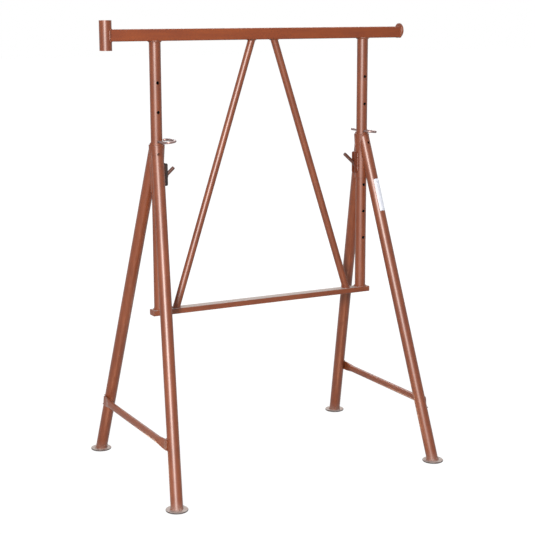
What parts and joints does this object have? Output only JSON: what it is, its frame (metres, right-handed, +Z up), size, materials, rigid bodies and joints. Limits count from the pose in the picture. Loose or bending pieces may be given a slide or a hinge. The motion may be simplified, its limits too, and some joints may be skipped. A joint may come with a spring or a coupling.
{
  "type": "builders trestle",
  "caption": "Height-adjustable steel builders trestle: a beam frame whose uprights slide in two splayed leg frames and rest on pins, with a guard post socket",
  "frame": {"origin": "on the floor under the middle of the trestle's box", "axes": "+X along the beam towards the end stop, -Y to the front that faces the camera, +Z up"},
  "size_m": [1.186, 0.788, 1.6051],
  "materials": {
    "oxide_paint": "gloss",
    "pin_steel": "satin"
  },
  "bodies": {
    "left_leg_frame": {"left_sleeve": "oxide_paint", "left_front_leg": "oxide_paint", "left_rear_leg": "oxide_paint", "left_leg_tie": "oxide_paint", "left_front_foot": "oxide_paint", "left_rear_foot": "oxide_paint", "left_lever_cheeks": "oxide_paint", "left_lever_pivot": "oxide_paint"},
    "upper_frame": {"top_beam": "oxide_paint", "guard_post_socket": "oxide_paint", "end_stop": "oxide_paint", "left_upright": "oxide_paint", "right_upright": "oxide_paint", "left_brace": "oxide_paint", "right_brace": "oxide_paint", "bottom_rail": "oxide_paint", "rail_end_caps": "oxide_paint"},
    "right_leg_frame": {"right_sleeve": "oxide_paint", "right_front_leg": "oxide_paint", "right_rear_leg": "oxide_paint", "right_leg_tie": "oxide_paint", "right_front_foot": "oxide_paint", "right_rear_foot": "oxide_paint", "right_lever_cheeks": "oxide_paint", "right_lever_pivot": "oxide_paint"},
    "left_lever": {"left_clamp_lever": "oxide_paint"},
    "right_lever": {"right_clamp_lever": "oxide_paint"},
    "left_pin": {"left_height_pin": "pin_steel"},
    "right_pin": {"right_height_pin": "pin_steel"}
  },
  "joints": [
    {"name": "frame_lift", "type": "slide", "parent": "left_leg_frame", "child": "upper_frame", "axis": [0, 0, 1], "range_m": [0, 0.4]},
    {"name": "right_leg_follow", "type": "slide", "parent": "upper_frame", "child": "right_leg_frame", "axis": [0, 0, 1], "range_m": [-0.4, 0]},
    {"name": "left_pin_draw", "type": "slide", "parent": "upper_frame", "child": "left_pin", "axis": [0, -1, 0], "range_m": [-0.034, 0.066]},
    {"name": "right_pin_draw", "type": "slide", "parent": "upper_frame", "child": "right_pin", "axis": [0, -1, 0], "range_m": [0, 0.1]},
    {"name": "left_lever_swing", "type": "hinge", "parent": "left_leg_frame", "child": "left_lever", "pos_m": [-0.3656, 0, 1.074], "axis": [0, -1, 0], "range_deg": [0, 40]},
    {"name": "right_lever_swing", "type": "hinge", "parent": "right_leg_frame", "child": "right_lever", "pos_m": [0.3996, 0, 1.074], "axis": [0, 1, 0], "range_deg": [0, 40]}
  ],
  "couplings": [
    {"joint": "right_leg_follow", "follows": "frame_lift", "ratio": -1}
  ]
}
